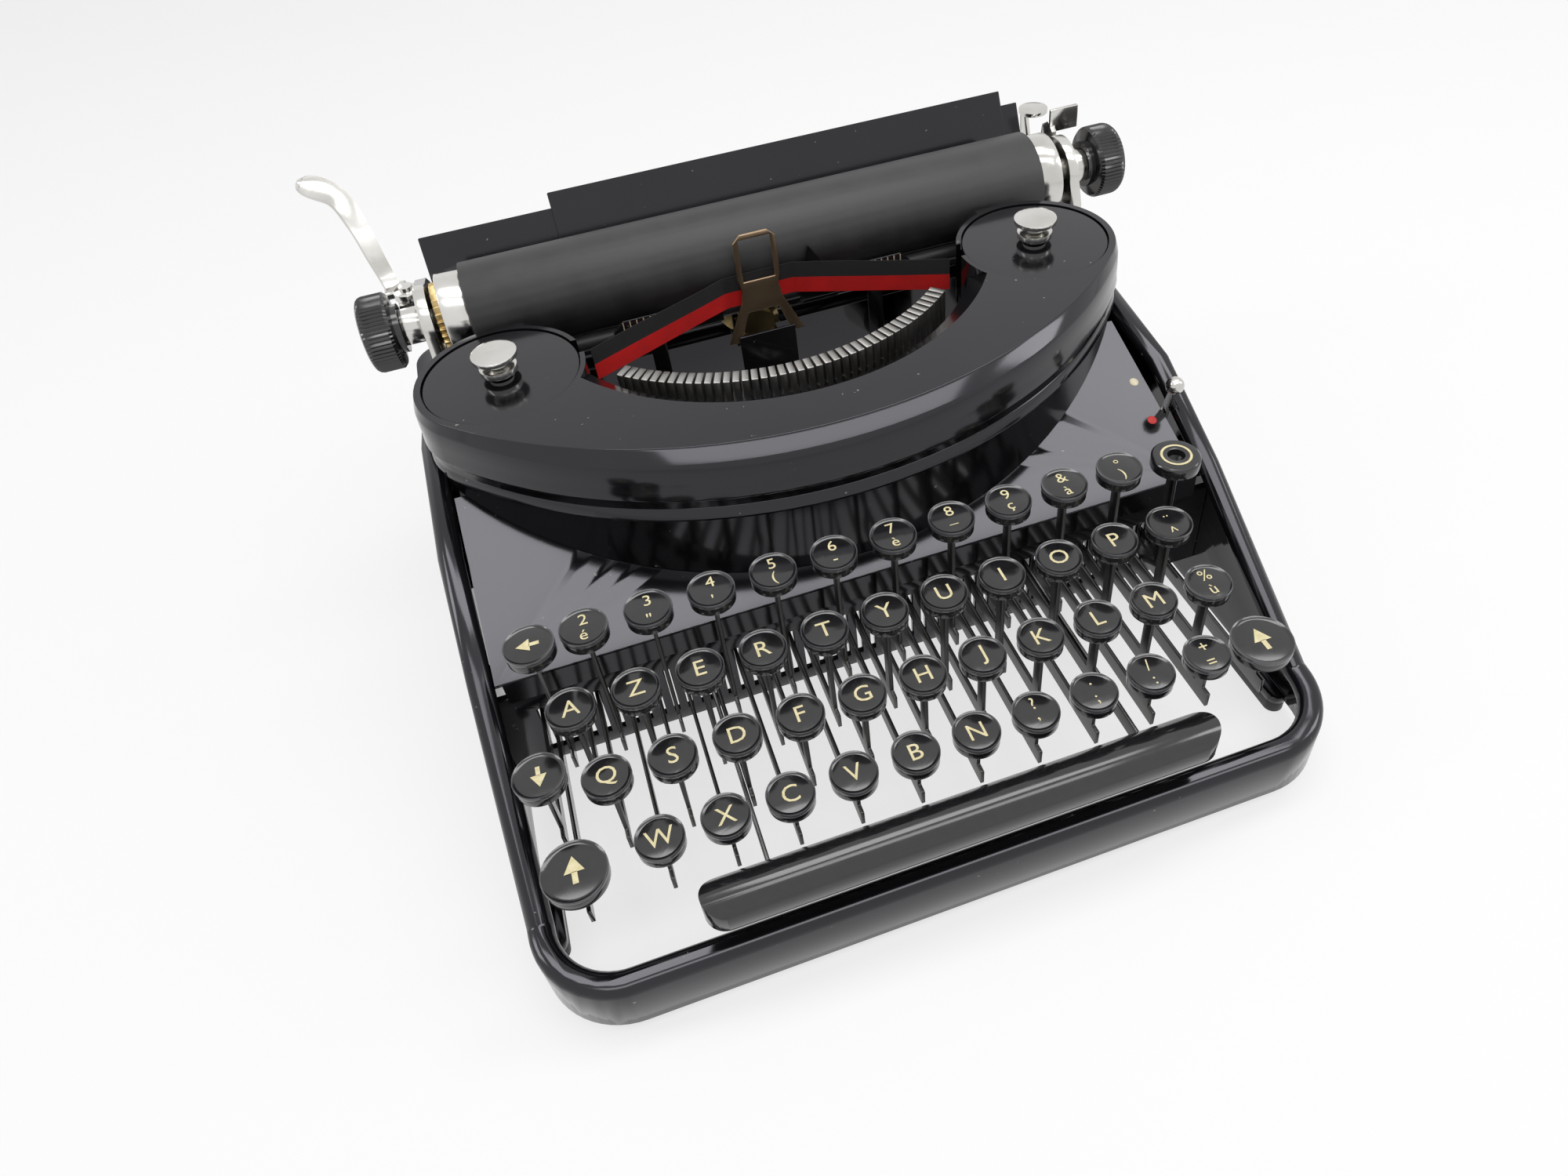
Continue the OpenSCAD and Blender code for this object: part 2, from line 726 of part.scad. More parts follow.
module end_plate_view() {
    notch_y = [rear_bar_y[0] - guide_wall - 3 * gap, rear_bar_y[1] + guide_wall + 3 * gap];
    notch_z = rear_bar_z[0] + guide_rise + gap;
    difference() {
        union() {
            polygon([
                [207, rear_bar_z[0]], [notch_y[0], rear_bar_z[0]], [notch_y[0], notch_z], [notch_y[1], notch_z],
                [notch_y[1], rear_bar_z[0]], [261, rear_bar_z[0]], [261, 99], [250, 103], [244, 114], [236, 120],
                [axis_y, axis_z + 13], [208, 118], [203, 104], [203, 96]
            ]);
            translate([axis_y, axis_z]) circle(13);
        }
        translate([axis_y, axis_z]) circle(shaft_r + run_fit);
    }
}

module carriage_frame() {
    color("silver") on_carriage() {
        for (s = [-1, 1]) across(s > 0 ? plate_x : -plate_x - end_plate_t, s > 0 ? plate_x + end_plate_t : -plate_x)
            end_plate_view();
        translate([-plate_x - 1, rear_bar_y[0], rear_bar_z[0]])
            cube([2 * plate_x + 2, rear_bar_y[1] - rear_bar_y[0], rear_bar_z[1] - rear_bar_z[0]]);
        translate([-plate_x - 1, front_bar_y[0], front_bar_z[0]])
            cube([2 * plate_x + 2, front_bar_y[1] - front_bar_y[0], front_bar_z[1] - front_bar_z[0]]);
        translate([lever_pin[0] - 4, lever_pin[1] - 5, lever_bracket_z[0]])
            cube([-plate_x - end_plate_t + 0.5 - lever_pin[0] + 4, 10, lever_bracket_z[1] - lever_bracket_z[0]]);
        translate([lever_pin[0], lever_pin[1], lever_bracket_z[1] - 1]) cylinder(h = 6, r = lever_pin_r);
        rod_x(plate_x + 1, plate_x + end_plate_t + 4, paper_release_pin, release_pin_r);
        rod_x(plate_x + 1, plate_x + end_plate_t + 4, carriage_release_pin, release_pin_r);
    }
}

module platen_tube(x0, x1, r) {
    difference() {
        rod_x(x0, x1, [axis_y, axis_z], r);
        rod_x(x0 - 1, x1 + 1, [axis_y, axis_z], shaft_r + seat_fit);
    }
}

module platen() {
    color("dimgray") on_carriage() platen_tube(-platen_len / 2, platen_len / 2, platen_r);
}

module platen_shaft() {
    x = knob_x + knob_w - 6;
    color("silver") on_carriage() rod_x(-x, x, [axis_y, axis_z], shaft_r);
}

module platen_end_caps() {
    color("silver") on_carriage() mirrored()
        platen_tube(platen_len / 2, platen_len / 2 + cap_w, cap_r);
}

module ratchet_wheel() {
    x = platen_len / 2 + cap_w;
    step = 360 / ratchet_teeth;
    teeth = [for (i = [0:ratchet_teeth - 1]) each [
        ratchet_r * [cos(i * step), sin(i * step)], (ratchet_r - 1.6) * [cos((i + 0.85) * step), sin((i + 0.85) * step)]
    ]];
    color("goldenrod") on_carriage() difference() {
        across(-x - ratchet_w, -x) translate([axis_y, axis_z]) polygon(teeth);
        rod_x(-x - ratchet_w - 1, -x + 1, [axis_y, axis_z], shaft_r + seat_fit);
    }
}

module platen_knob(side) {
    r = knob_d / 2;
    color("black") on_carriage() translate([side * knob_x, axis_y, axis_z]) rotate([0, side * 90, 0]) difference() {
        rotate_extrude() polygon([
            [0, 0], [r - 5, 0], [r - 5, 2], [r - 1, 2.5], [r, 3.5], [r, knob_w - 2], [r - 2, knob_w], [0, knob_w]
        ]);
        translate([0, 0, -1]) cylinder(h = knob_w - 6 + 1, r = shaft_r + seat_fit);
    }
}

module platen_knob_left() { platen_knob(-1); }

module platen_knob_right() { platen_knob(1); }

module shaft_collars() {
    color("silver") on_carriage() mirrored() platen_tube(plate_x + end_plate_t + gap, knob_x, collar_r);
}

module feed_roller(at) {
    color("dimgray") on_carriage() {
        rod_x(-plate_x, plate_x, at, feed_spindle_r);
        for (x = [-72, 0, 72]) rod_x(x - 26, x + 26, at, at[2]);
    }
}

module feed_roller_front() { feed_roller(feed_front); }

module feed_roller_rear() { feed_roller(feed_rear); }

table_along = (table_top - table_foot) / norm(table_top - table_foot);
table_normal = [table_along[1], -table_along[0]];

module table_strip(x0, x1, from, to, lift, t) {
    a = table_foot + from * table_along + lift * table_normal;
    b = table_foot + to * table_along + lift * table_normal;
    across(x0, x1) polygon([a, a + t * table_normal, b + t * table_normal, b]);
}

module paper_table() {
    color("black") on_carriage() intersection() {
        table_strip(-plate_x, plate_x, -3, norm(table_top - table_foot), 0, table_t);
        translate([-plate_x, 0, table_foot[1]]) cube([2 * plate_x, frame_d + 50, 60]);
    }
}

module paper_support() {
    color("black") on_carriage()
        table_strip(support_x[0], support_x[1], support_from, support_to, -support_t, support_t);
}

module margin_rack() {
    n = floor(2 * plate_x / margin_notch) - 2;
    color("silver") on_carriage() difference() {
        translate([-plate_x, margin_y[0], margin_z[0]])
            cube([2 * plate_x, margin_y[1] - margin_y[0], margin_z[1] - margin_z[0]]);
        for (i = [1:n]) translate([-plate_x + margin_notch * i, margin_y[1] - 0.8, margin_z[0] - 1])
            cube([1.5, 2, margin_z[1] - margin_z[0] + 2]);
    }
}

module margin_stop(x) {
    t = 2;
    y0 = margin_y[0] - gap;
    y1 = margin_y[1] + gap;
    z0 = margin_z[0] - gap;
    z1 = margin_z[1] + gap;
    color("silver") on_carriage() translate([x - stop_w / 2, 0, 0]) {
        difference() {
            translate([0, y0 - t, z0 - t + 0.5]) cube([stop_w, y1 - y0 + 2 * t, z1 - z0 + 2 * t]);
            translate([-1, y0, z0]) cube([stop_w + 2, y1 - y0, z1 - z0]);
        }
        translate([1, y0, z1 + 1]) cube([stop_w - 2, 2, 8]);
    }
}

module margin_stop_left() { margin_stop(stop_x[0]); }

module margin_stop_right() { margin_stop(stop_x[1]); }

// A chromed lever that rises from its pin and bends out to a thumb tab
module return_lever() {
    z = lever_bracket_z[1] + gap;
    eye_r = 4.2;
    bends = [[-5, 5, 4.2], [-7.5, 11, 13], [-10, 17, 24], [-14.5, 24, 33], [-25.6, 30.74, 37.6]];
    half_len = [3, 3.2, 3.4, 4, 4.6];
    color("silver") on_carriage() translate([lever_pin[0], lever_pin[1], z]) {
        difference() {
            union() {
                cylinder(h = 3, r = eye_r);
                translate([-8, 0, 0]) cube([8, 8, 3]);
            }
            translate([0, 0, -1]) cylinder(h = 6, r = lever_pin_r + run_fit);
        }
        for (i = [0:len(bends) - 2]) hull() for (k = [i, i + 1])
            translate(bends[k]) rotate([0, 0, 35]) rotate([62, 0, 0])
                cylinder(h = 1.8, r = half_len[k], center = true, $fn = 24);
    }
}

module paper_release_lever() {
    x = plate_x + end_plate_t + gap;
    color("silver") on_carriage() {
        difference() {
            union() {
                across(x, x + 2) polygon([
                    paper_release_pin + [-4, 0], paper_release_pin + [4, 0], paper_release_pin + [2, 12],
                    paper_release_pin + [-3, 15], paper_release_pin + [-7, 12]
                ]);
                rod_x(x, x + 2, paper_release_pin, 4);
            }
            rod_x(x - 1, x + 3, paper_release_pin, release_pin_r + run_fit);
        }
        translate([x, paper_release_pin[0] - 5, paper_release_pin[1] + 11]) cube([12, 1.4, 9]);
    }
}

module carriage_release_lever() {
    x = plate_x + end_plate_t + gap;
    color("silver") on_carriage() {
        difference() {
            union() {
                across(x, x + 2) polygon([
                    carriage_release_pin + [-4, 0], carriage_release_pin + [4, 0],
                    carriage_release_pin + [6, 18], carriage_release_pin + [2, 18]
                ]);
                rod_x(x, x + 2, carriage_release_pin, 4);
            }
            rod_x(x - 1, x + 3, carriage_release_pin, release_pin_r + run_fit);
        }
        translate([x + 5, carriage_release_pin[0] + 4, carriage_release_pin[1] + 18]) cylinder(h = 1.6, r = 6);
    }
}

// A rack whose straight teeth leave backlash round the pinion's
module escapement_rack() {
    n = floor(rack_len / rack_pitch / 2);
    root = front_bar_z[0] - rack_back;
    x = n * rack_pitch + rack_pitch / 2;
    tip = rack_pitch_z - 0.8 * gear_module;
    half = rack_pitch / 4 - tooth_backlash / 2;
    teeth = [for (i = [-n:n]) each [
        [i * rack_pitch - half - 0.35, root], [i * rack_pitch - half + 0.3, tip],
        [i * rack_pitch + half - 0.3, tip], [i * rack_pitch + half + 0.35, root]
    ]];
    color("gray") placed() translate([0, front_bar_y[1] - 0.5, 0]) rotate([90, 0, 0])
        linear_extrude(front_bar_y[1] - front_bar_y[0] - 1)
            polygon(concat([[-x, root + rack_back], [-x, root]], teeth, [[x, root], [x, root + rack_back]]));
}

module escapement_pinion() {
    y0 = front_bar_y[0] - 0.5;
    y1 = front_bar_y[1] + 0.5;
    root = pinion_r - 1.1 * gear_module;
    tip = pinion_r + 0.7 * gear_module;
    half = rack_pitch / 4 - tooth_backlash / 2;
    color("goldenrod") placed() translate([0, 0, pinion_z]) {
        translate([0, y1, 0]) rotate([90, 0, 0]) linear_extrude(y1 - y0) {
            circle(root);
            for (i = [0:pinion_teeth - 1]) rotate((i + 0.5) * 360 / pinion_teeth) polygon([
                [-half - 0.2, root - 1], [half + 0.2, root - 1], [half - 0.35, tip], [-half + 0.35, tip]
            ]);
        }
        rod_y(y1, bearing_y[1] + 3, [0, 0], arbor_r);
        rod_y(bearing_y[1] + 1, bearing_y[1] + 2.4, [0, 0], escape_wheel_r);
    }
}

module mainspring_drum() {
    color("goldenrod") placed() {
        difference() {
            rod_y(drum_y[0], drum_y[1], drum_at, drum_r);
            rod_y(drum_y[0] - 1, drum_y[1] + 1, drum_at, drum_arbor_r + run_fit);
            rod_y(drum_y[1] - 1, drum_y[1] + 1, drum_at, drum_r - 3);
        }
    }
}

module bell() {
    color("silver") placed() {
        translate([bell_at[0], rear_inner_y - 14, bell_at[1]]) rotate([-90, 0, 0]) rotate_extrude() polygon([
            [0, 8], [bell_r - 6, 6], [bell_r - 1, 0], [bell_r, 0], [bell_r - 5, 8], [3, 11], [3, 14], [0, 14]
        ]);
    }
}

base_frame();
rubber_feet();
rear_screws();
apron_panel();
lever_comb();
lever_shaft();
mechanism_plate();
type_cover();
spool_cover_left();
spool_cover_right();
ribbon_spool_left();
ribbon_spool_right();
spool_knob_left();
spool_knob_right();
ribbon();
ribbon_vibrator();
line_scale();
vibrator_guide();
type_bars();
type_segment();
basket_guide_rods();
row_levers(0);  // key_levers_row_1
row_levers(1);  // key_levers_row_2
row_levers(2);  // key_levers_row_3
row_levers(3);  // key_levers_row_4
row_tops(0);  // key_tops_row_1
row_tops(1);  // key_tops_row_2
row_tops(2);  // key_tops_row_3
row_tops(3);  // key_tops_row_4
shift_key_left();
shift_key_right();
shift_lock_key();
backspace_key();
margin_release_key();
space_bar();
space_bar_arms();
colour_selector();
carriage_bed();
carriage_frame();
platen();
platen_shaft();
platen_end_caps();
ratchet_wheel();
platen_knob_left();
platen_knob_right();
shaft_collars();
feed_roller_front();
feed_roller_rear();
paper_table();
paper_support();
margin_rack();
margin_stop_left();
margin_stop_right();
return_lever();
paper_release_lever();
carriage_release_lever();
escapement_rack();
escapement_pinion();
mainspring_drum();
bell();
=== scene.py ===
import json
import math

import bpy
from mathutils import Matrix, Vector


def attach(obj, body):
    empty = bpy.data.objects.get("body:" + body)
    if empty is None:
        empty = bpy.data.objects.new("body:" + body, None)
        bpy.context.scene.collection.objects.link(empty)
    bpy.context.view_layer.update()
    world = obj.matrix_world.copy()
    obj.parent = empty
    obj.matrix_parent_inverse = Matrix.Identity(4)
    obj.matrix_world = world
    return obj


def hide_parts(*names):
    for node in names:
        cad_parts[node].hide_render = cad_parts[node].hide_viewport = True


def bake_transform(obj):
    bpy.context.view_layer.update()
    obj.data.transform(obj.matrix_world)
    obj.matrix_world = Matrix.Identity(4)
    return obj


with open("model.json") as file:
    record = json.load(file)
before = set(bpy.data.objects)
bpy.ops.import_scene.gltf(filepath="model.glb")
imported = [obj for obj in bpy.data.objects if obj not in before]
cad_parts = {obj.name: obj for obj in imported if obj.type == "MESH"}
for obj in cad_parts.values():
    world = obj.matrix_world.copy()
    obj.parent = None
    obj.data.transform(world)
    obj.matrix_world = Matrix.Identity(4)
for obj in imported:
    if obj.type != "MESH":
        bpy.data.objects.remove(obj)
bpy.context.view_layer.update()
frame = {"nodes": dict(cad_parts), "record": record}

bl_info = {
    "name": "Portable typewriter looks",
    "version": (1, 0, 0),
    "blender": (4, 5, 0),
    "location": "3D View > Sidebar > Typewriter",
    "description": "Dresses the typewriter's solids with enamel, chrome, keys, ribbon and a studio",
    "category": "Object",
}

# Metres from the frame's own front edge and underside to the object's origin
FRONT_TO_ORIGIN = 0.13703
FOOT_HEIGHT = 0.005
KEY_STEP = 0.01905
LEVER_STEP = KEY_STEP / 4
PLATEN_AXIS = (0.219, 0.112)
FIRST_LEVER = -21 * LEVER_STEP

# Each point along the frame's rim: distance from the front, and height
RIM_LINE = (
    (0.0, 0.02), (0.028, 0.022), (0.09, 0.062), (0.128, 0.082), (0.178, 0.09), (0.2, 0.084), (0.25, 0.084),
)
RIM_ROLL = 0.003
RIM_FIT = 0.0001
RIM_CROSSBAR = 0.02
RIM_ROLL_END = 0.2005
EDGE_SOFTNESS = 0.0003
ENAMEL_SOFTNESS = 0.0005

# Return lever: its pin, the middle line of its blade in millimetres from the pin, and the blade's own sizes
LEVER_PIN = (-0.124, 0.2395, 0.1123)
LEVER_LINE = (
    (-5, 5, 2.4), (-6, 8, 6), (-7.5, 11, 13), (-10, 17, 24), (-14.5, 24, 33), (-25.6, 30.74, 37.6),
)
LEVER_TURN = math.radians(35)
LEVER_LEAN = math.radians(62)
BLADE_HALF_WIDTH = 0.0028
BLADE_FLARE = 0.0022
BLADE_TIP_START = 0.86
BLADE_DISH_START = 0.55
BLADE_DISH = 0.0009
BLADE_THICK = 0.0016
EYE_RADIUS = 0.005
EYE_HEIGHT = 0.003
EYE_ARM = 0.008

# Each point of a platen knob's outline: distance from its axis, and from its inner end.
# The ridges are cut where the outline is wider than KNURL_FROM.
KNOB_OUTLINE = (
    (0.0, 0.0), (0.00875, 0.0), (0.00875, 0.002), (0.01275, 0.0025), (0.01375, 0.0035),
    (0.01375, 0.0106), (0.01345, 0.0117), (0.01275, 0.0125), (0.01175, 0.013), (0.0, 0.013),
)
KNOB_INNER_ENDS = (("left", -1, -0.127), ("right", 1, 0.141))
KNURL_FROM = 0.013
KNURL_RIDGES = 56
KNURL_DEPTH = 0.0005

# Key faces: a face is centred just under the height of its key top, and its mark lies just over that height
KEY_SIDES = 40
KEY_THICK = 0.0018
KEY_PROUD = 0.0002
RING_DROP = 0.0003
RING_ROLL = 0.00025
DISH_STEPS = ((0.06, 0.00022), (0.09, 0.00018), (0.11, 0.00012), (0.11, 0.00006))
FACE_DROP = Vector((0, 0, -0.0004))
LEGEND_LIFT = Vector((0, 0, 0.0001))
LEGEND_THICK = 0.00006
ARROW_LIFT = Vector((0, 0, 0.00012))
ARROW_THICK = 0.00012
ARROW_SHARE = 0.36
ARROW_TURNS = {"up": 0.0, "down": math.pi, "left": math.pi / 2}
RELEASE_KEY = (0.1005, 0.075, 0.0861)
RELEASE_RING_RADIUS = 0.0046
RELEASE_RING_LINE = 0.0004

# Each row: front-to-back place, height of the key tops, first lever and legends
KEY_ROWS = (
    ("1", 0.0762, 0.0865, 2, ("2é", '3"', "4'", "5(", "6-", "7è", "8_", "9ç", "&à", "°)")),
    ("2", 0.0595, 0.0737, 0, ("A", "Z", "E", "R", "T", "Y", "U", "I", "O", "P", "¨^")),
    ("3", 0.0417, 0.0621, 1, ("Q", "S", "D", "F", "G", "H", "J", "K", "L", "M", "%ù")),
    ("4", 0.0244, 0.0512, 3, ("W", "X", "C", "V", "B", "N", "?,", ".;", "/:", "+=")),
)

# Each special key: body, centre, diameter and the mark on it
SPECIAL_KEYS = (
    ("left_shift", (-0.110, 0.023, 0.051), 0.0186, "up"),
    ("right_shift", (0.104, 0.023, 0.051), 0.0186, "up"),
    ("shift_lock", (-0.1135, 0.049, 0.062), 0.0150, "down"),
    ("backspace", (-0.1065, 0.076, 0.086), 0.0146, "left"),
)

# Ribbon: the places where it turns, seen from above, and its own sizes
RIBBON_TURNS = (
    Vector((-0.066, 0.1762)), Vector((-0.013, 0.2)), Vector((0.013, 0.2)), Vector((0.066, 0.1762)),
)
RIBBON_WIDTH = 0.0127
RIBBON_BOTTOM = 0.099
RIBBON_THICK = 0.0002
RIBBON_RIPPLE = 0.0004
RIBBON_FLAT_HALF = 0.02

# Line scale: where each run of ticks starts and how many it has
SCALE_RUNS = ((-0.052, 15), (0.0305, 11))
TICK_STEP = 0.00254
TICK_HALF_WIDTH = 0.0002
TICK_LONG = 0.0042
TICK_SHORT = 0.0024
TICK_TOP = 0.1036
TICK_DEPTHS = (0.2002, 0.2003)

# Dots on the sloping panel: name and finish, with their places, on the panel's line
SELECTOR_DOTS = (("red_dot", 0.1155, 0.111), ("cream_dot", 0.1165, 0.1265))
DOT_RADIUS = 0.0017
DOT_FLATNESS = 0.25
PANEL_FOOT = (0.088, 0.060)
PANEL_SLOPE = math.atan2(0.024, 0.064)

# Each lamp: name, place, size, watts, and whether it is turned to the machine or hangs level
LAMPS = (
    ("overhead_light", (0.25, 0.12, 1.25), (1.5, 0.34), 8.0, False),
    ("front_light", (0.15, -0.48, 1.15), (1.4, 0.3), 5.0, False),
    ("left_light", (-1.2, 0.2, 0.9), (0.3, 0.6), 3.0, True),
    ("right_light", (1.2, -0.3, 0.8), (0.3, 0.5), 2.5, True),
)
LAMP_TARGET = Vector((0, 0, 0.08))
FLOOR_GLOW = 0.7
WORLD_FILL = 0.35

# Camera: its place, the directions to its right, above it and ahead of it, and its shift
CAMERA_PLACE = Vector((-0.069695, -0.280910, 0.323098))
CAMERA_RIGHT = Vector((0.94583262, -0.31388584, -0.08292371))
CAMERA_UP = Vector((0.2748253, 0.63812711, 0.71921127))
CAMERA_FORWARD = Vector((0.17283437, 0.70304301, -0.6898252))
CAMERA_SHIFT = (-0.0262, -0.0457)


def rim_height(y):
    """Height of the frame's rim above its underside, at a distance from its front."""
    for (y0, z0), (y1, z1) in zip(RIM_LINE, RIM_LINE[1:]):
        if y <= y1:
            return z0 + (z1 - z0) * (y - y0) / (y1 - y0)
    return RIM_LINE[-1][1]


def in_frame(x, y, z):
    """A point measured from the frame's front edge and underside, in the object's frame."""
    return Vector((x, y - FRONT_TO_ORIGIN, z + FOOT_HEIGHT))


class KeyLooks(bpy.types.PropertyGroup):
    key_diameter: bpy.props.FloatProperty(
        name="Key diameter", description="Diameter of a letter key",
        default=0.014, unit="LENGTH"
    )
    ring_width: bpy.props.FloatProperty(
        name="Ring width", description="Width of the raised edge round a key",
        default=0.00035, unit="LENGTH"
    )
    legend_height: bpy.props.FloatProperty(
        name="Legend height", description="Size of a letter",
        default=0.0080, unit="LENGTH"
    )
    legend_colour: bpy.props.FloatVectorProperty(
        name="Legend colour", description="Aged cream of the letters",
        default=(0.78, 0.70, 0.44, 1), size=4, subtype="COLOR"
    )


class FinishLooks(bpy.types.PropertyGroup):
    enamel_colour: bpy.props.FloatVectorProperty(
        name="Enamel", description="Black enamel of the body",
        default=(0.0045, 0.0045, 0.0052, 1), size=4, subtype="COLOR"
    )
    chrome_colour: bpy.props.FloatVectorProperty(
        name="Chrome", description="Bright plating",
        default=(0.68, 0.67, 0.65, 1), size=4, subtype="COLOR"
    )
    steel_colour: bpy.props.FloatVectorProperty(
        name="Steel", description="Bare steel of levers and type",
        default=(0.36, 0.35, 0.34, 1), size=4, subtype="COLOR"
    )
    ribbon_red: bpy.props.FloatVectorProperty(
        name="Ribbon red", description="Lower half of the ribbon",
        default=(0.75, 0.008, 0.008, 1), size=4, subtype="COLOR"
    )


class StageLooks(bpy.types.PropertyGroup):
    lens: bpy.props.FloatProperty(
        name="Lens", description="Focal length in millimetres",
        default=24.836
    )
    floor_size: bpy.props.FloatProperty(
        name="Floor", description="Side of the floor",
        default=8.0, unit="LENGTH"
    )


class Shader:
    """A material whose nodes are added one by one."""

    def __init__(self, name):
        self.material = bpy.data.materials.new(name)
        self.material.use_nodes = True
        self.tree = self.material.node_tree
        self.surface = self.tree.nodes["Principled BSDF"]

    def add(self, kind, **values):
        made = self.tree.nodes.new(kind)
        for key, value in values.items():
            setattr(made, key, value)
        return made

    def link(self, out, into):
        self.tree.links.new(out, into)

    def place(self):
        return self.add("ShaderNodeTexCoord").outputs["Object"]

    def noise(self, scale, detail=4.0, where=None):
        made = self.add("ShaderNodeTexNoise")
        made.inputs["Scale"].default_value = scale
        made.inputs["Detail"].default_value = detail
        self.link(where or self.place(), made.inputs["Vector"])
        return made.outputs["Fac"]

    def ramp(self, factor, stops):
        made = self.add("ShaderNodeValToRGB")
        band = made.color_ramp
        while len(band.elements) < len(stops):
            band.elements.new(0.5)
        for element, (at, colour) in zip(band.elements, stops):
            element.position = at
            element.color = colour
        self.link(factor, made.inputs["Fac"])
        return made.outputs["Color"]

    def grey(self, factor, low, high):
        made = self.add("ShaderNodeMapRange")
        made.inputs["To Min"].default_value = low
        made.inputs["To Max"].default_value = high
        self.link(factor, made.inputs["Value"])
        return made.outputs["Result"]

    def bump(self, height, strength, depth):
        made = self.add("ShaderNodeBump")
        made.inputs["Strength"].default_value = strength
        made.inputs["Distance"].default_value = depth
        self.link(height, made.inputs["Height"])
        self.link(made.outputs["Normal"], self.surface.inputs["Normal"])

    def set(self, socket, value):
        self.surface.inputs[socket].default_value = value


def shade(colour, red, green, blue):
    """A colour made darker or paler, channel by channel."""
    return (colour[0] * red, colour[1] * green, colour[2] * blue, 1)


def enamel(name, colour, chips):
    """Gloss black paint over steel, faintly dusty, chipped to grey here and there."""
    s = Shader(name)
    chip = s.noise(420.0, 6.0)
    mask = s.ramp(chip, ((chips, (0, 0, 0, 1)), (chips + 0.012, (1, 1, 1, 1))))
    dust = s.noise(38.0, 5.0)
    paint = s.ramp(dust, ((0.4, colour), (0.8, shade(colour, 1.6, 1.55, 1.7))))
    mix = s.add("ShaderNodeMix", data_type="RGBA")
    s.link(mask, mix.inputs["Factor"])
    s.link(paint, mix.inputs["A"])
    mix.inputs["B"].default_value = (0.23, 0.21, 0.18, 1)
    s.link(mix.outputs["Result"], s.surface.inputs["Base Color"])
    s.link(s.grey(dust, 0.07, 0.17), s.surface.inputs["Roughness"])
    s.set("Specular IOR Level", 0.5)
    s.set("Specular Tint", (0.93, 0.92, 1.0, 1))
    s.bump(s.noise(90.0, 2.0), 0.03, 0.0004)
    return s.material


def plated(name, colour, roughness):
    """Bright plating with faint clouding and fine polishing marks."""
    s = Shader(name)
    cloud = s.noise(60.0, 6.0)
    tone = s.ramp(cloud, ((0.3, shade(colour, 0.8, 0.79, 0.76)), (0.7, colour)))
    s.link(tone, s.surface.inputs["Base Color"])
    s.set("Metallic", 1.0)
    s.link(s.grey(cloud, roughness, roughness + 0.14), s.surface.inputs["Roughness"])
    s.bump(s.noise(900.0, 2.0), 0.04, 0.0002)
    return s.material


def rubber(name, colour):
    """Hard charcoal rubber with a fine satin grain and a few pale scuffs."""
    s = Shader(name)
    scuff = s.noise(90.0, 6.0)
    tone = s.ramp(scuff, ((0.3, colour), (0.8, shade(colour, 2.0, 2.0, 2.0))))
    s.link(tone, s.surface.inputs["Base Color"])
    s.link(s.grey(scuff, 0.42, 0.62), s.surface.inputs["Roughness"])
    s.bump(s.noise(1400.0, 2.0), 0.12, 0.0002)
    return s.material


def lacquer(name, colour):
    """Gloss black of the keys and knobs, softly worn."""
    s = Shader(name)
    wear = s.noise(240.0, 5.0)
    tone = s.ramp(wear, ((0.3, colour), (0.8, shade(colour, 1.6, 1.6, 1.6))))
    s.link(tone, s.surface.inputs["Base Color"])
    s.link(s.grey(wear, 0.08, 0.2), s.surface.inputs["Roughness"])
    s.set("Specular IOR Level", 0.7)
    return s.material


def painted_mark(name, colour):
    """Flat aged paint of the legends, ticks and dots."""
    s = Shader(name)
    age = s.noise(700.0, 3.0)
    tone = s.ramp(age, ((0.3, shade(colour, 0.8, 0.78, 0.7)), (0.7, colour)))
    s.link(tone, s.surface.inputs["Base Color"])
    s.set("Roughness", 0.6)
    return s.material


def inked_cloth(name, colour):
    """Woven ribbon, its ink a little thinner here and there."""
    s = Shader(name)
    where = s.place()
    ink = s.ramp(s.noise(120.0, 4.0, where), ((0.3, shade(colour, 0.75, 0.7, 0.7)), (0.75, colour)))
    s.link(ink, s.surface.inputs["Base Color"])
    s.set("Roughness", 0.85)
    weave = s.add("ShaderNodeTexWave", bands_direction="Z")
    weave.inputs["Scale"].default_value = 900.0
    weave.inputs["Distortion"].default_value = 0.6
    s.link(where, weave.inputs["Vector"])
    s.bump(weave.outputs["Fac"], 0.3, 0.0002)
    return s.material


FINISHES = {}


